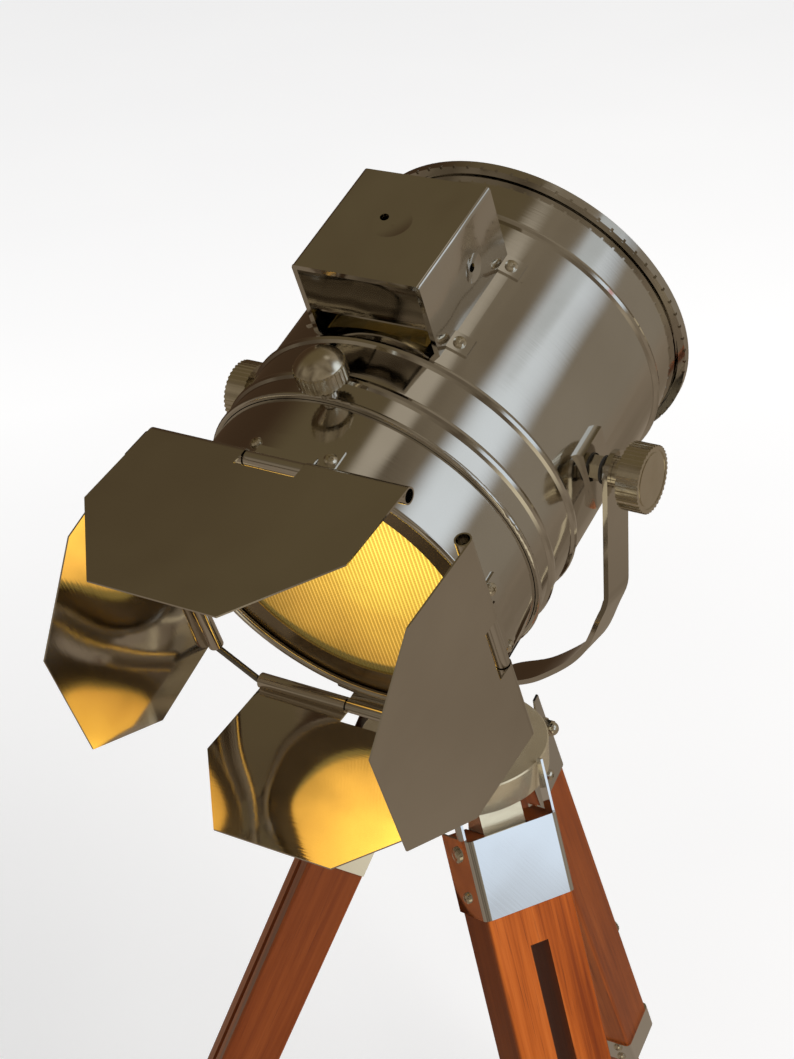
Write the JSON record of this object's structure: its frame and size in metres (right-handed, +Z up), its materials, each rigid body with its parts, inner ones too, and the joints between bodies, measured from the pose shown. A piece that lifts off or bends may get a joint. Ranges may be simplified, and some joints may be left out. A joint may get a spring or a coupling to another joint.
{
  "type": "tripod spotlight",
  "caption": "Drum-shaped spotlight with barn doors in a tilting yoke, on a wooden tripod with splaying, extending legs.",
  "frame": {"origin": "on the floor under the tripod's vertical axis, which is also the pan axis", "axes": "+Z up; the lamp's nose points towards -Y and down; +X towards one tilt knob"},
  "size_m": [0.6789, 0.6501, 1.1036],
  "materials": {
    "chrome": "polished",
    "nickel": "polished warm nickel",
    "black_paint": "satin",
    "steel": "brushed",
    "aluminium": "polished",
    "wood": "clear lacquer, linear grain",
    "reflector": "polished",
    "ceramic": "glazed",
    "bulb_glass": "frosted",
    "lens_glass": "ribbed amber, lit from behind",
    "rubber": "matte",
    "washer": "matte",
    "dark_band": "satin brown"
  },
  "bodies": {
    "hub": {"hub_disc": "nickel", "pan_post": "chrome", "pan_bolt": "nickel"},
    "yoke": {"yoke": "chrome", "pan_washer": "washer"},
    "tilt_knob_left": {"tilt_knob_left": "nickel"},
    "tilt_knob_right": {"tilt_knob_right": "nickel"},
    "head": {"drum_shell": "chrome", "rear_cap": "chrome", "vent_box": "chrome", "vent_baffle": "chrome", "bottom_vent": "black_paint", "vent_screws": "nickel", "pivot_plates": "chrome", "pivot_studs": "nickel", "pivot_nuts": "nickel", "pivot_washers": "washer", "reflector": "reflector", "lamp_holder": "ceramic", "bulb": "bulb_glass", "cable_gland": "washer"},
    "thumb_screw": {"thumb_screw": "nickel"},
    "barrel": {"barrel": "chrome", "bezel_ring": "dark_band", "lens": "lens_glass", "lens_retainer": "chrome", "hinge_frame": "steel", "hinge_clips": "chrome", "clip_screws": "nickel"},
    "door_top": {"leaf_top": "chrome"},
    "door_right": {"leaf_right": "chrome"},
    "door_bottom": {"leaf_bottom": "chrome"},
    "door_left": {"leaf_left": "chrome"},
    "leg_a": {"upper_leg_a": "wood", "leg_bracket_a": "aluminium", "hinge_bolt_a": "nickel", "bracket_screws_a": "nickel", "end_band_a": "aluminium"},
    "extension_a": {"inner_leg_a": "wood", "clamp_bolt_a": "nickel", "foot_a": "rubber"},
    "clamp_knob_a": {"clamp_knob_a": "nickel"},
    "leg_b": {"upper_leg_b": "wood", "leg_bracket_b": "aluminium", "hinge_bolt_b": "nickel", "bracket_screws_b": "nickel", "end_band_b": "aluminium"},
    "extension_b": {"inner_leg_b": "wood", "clamp_bolt_b": "nickel", "foot_b": "rubber"},
    "clamp_knob_b": {"clamp_knob_b": "nickel"},
    "leg_c": {"upper_leg_c": "wood", "leg_bracket_c": "aluminium", "hinge_bolt_c": "nickel", "bracket_screws_c": "nickel", "end_band_c": "aluminium"},
    "extension_c": {"inner_leg_c": "wood", "clamp_bolt_c": "nickel", "foot_c": "rubber"},
    "clamp_knob_c": {"clamp_knob_c": "nickel"}
  },
  "joints": [
    {"name": "pan_swivel", "type": "hinge", "parent": "hub", "child": "yoke", "pos_m": [0, 0, 0.79473], "axis": [0, 0, 1], "continuous": true},
    {"name": "head_tilt", "type": "hinge", "parent": "yoke", "child": "head", "pos_m": [0, 0, 0.95323], "axis": [1, 0, 0], "range_deg": [-50.5, 21.5]},
    {"name": "knob_left_turn", "type": "hinge", "parent": "yoke", "child": "tilt_knob_left", "pos_m": [-0.125, 0, 0.95323], "axis": [-1, 0, 0], "continuous": true},
    {"name": "knob_right_turn", "type": "hinge", "parent": "yoke", "child": "tilt_knob_right", "pos_m": [0.125, 0, 0.95323], "axis": [1, 0, 0], "continuous": true},
    {"name": "thumb_screw_turn", "type": "hinge", "parent": "head", "child": "thumb_screw", "pos_m": [0, -0.10947, 1.04042], "axis": [0, -0.3502, 0.9367], "continuous": true},
    {"name": "barrel_slide", "type": "slide", "parent": "head", "child": "barrel", "axis": [0, -0.9367, -0.3502], "range_m": [-0.015, 0.02]},
    {"name": "door_top_hinge", "type": "hinge", "parent": "barrel", "child": "door_top", "pos_m": [0, -0.15374, 1.00464], "axis": [1, 0, 0], "range_deg": [-82.4, 72.6]},
    {"name": "door_bottom_hinge", "type": "hinge", "parent": "barrel", "child": "door_bottom", "pos_m": [0, -0.0823, 0.81356], "axis": [-1, 0, 0], "range_deg": [-80.5, 54.5]},
    {"name": "door_right_hinge", "type": "hinge", "parent": "barrel", "child": "door_right", "pos_m": [0.102, -0.11802, 0.9091], "axis": [0, -0.3502, 0.9367], "range_deg": [-61, 94]},
    {"name": "door_left_hinge", "type": "hinge", "parent": "barrel", "child": "door_left", "pos_m": [-0.102, -0.11802, 0.9091], "axis": [0, 0.3502, -0.9367], "range_deg": [-62, 93]},
    {"name": "leg_a_splay", "type": "hinge", "parent": "hub", "child": "leg_a", "pos_m": [-0.05144, -0.02793, 0.70851], "axis": [0.4772, -0.8788, 0], "range_deg": [0, 22]},
    {"name": "leg_a_extend", "type": "slide", "parent": "leg_a", "child": "extension_a", "axis": [-0.349, -0.1895, -0.9178], "range_m": [-0.215, 0.06]},
    {"name": "clamp_a_turn", "type": "hinge", "parent": "extension_a", "child": "clamp_knob_a", "pos_m": [-0.17271, -0.09377, 0.45005], "axis": [-0.8065, -0.4379, 0.3971], "continuous": true},
    {"name": "leg_b_splay", "type": "hinge", "parent": "hub", "child": "leg_b", "pos_m": [0.04991, -0.03058, 0.70851], "axis": [0.5225, 0.8526, 0], "range_deg": [0, 22]},
    {"name": "leg_b_extend", "type": "slide", "parent": "leg_b", "child": "extension_b", "axis": [0.3386, -0.2075, -0.9178], "range_m": [-0.215, 0.06]},
    {"name": "clamp_b_turn", "type": "hinge", "parent": "extension_b", "child": "clamp_knob_b", "pos_m": [0.16757, -0.10268, 0.45005], "axis": [0.7825, -0.4795, 0.3971], "continuous": true},
    {"name": "leg_c_splay", "type": "hinge", "parent": "hub", "child": "leg_c", "pos_m": [-0.00245, 0.05848, 0.70851], "axis": [-0.9991, -0.0419, 0], "range_deg": [0, 22]},
    {"name": "leg_c_extend", "type": "slide", "parent": "leg_c", "child": "extension_c", "axis": [-0.0166, 0.3968, -0.9178], "range_m": [-0.215, 0.06]},
    {"name": "clamp_c_turn", "type": "hinge", "parent": "extension_c", "child": "clamp_knob_c", "pos_m": [-0.00823, 0.19636, 0.45005], "axis": [-0.0384, 0.9169, 0.3971], "continuous": true}
  ]
}
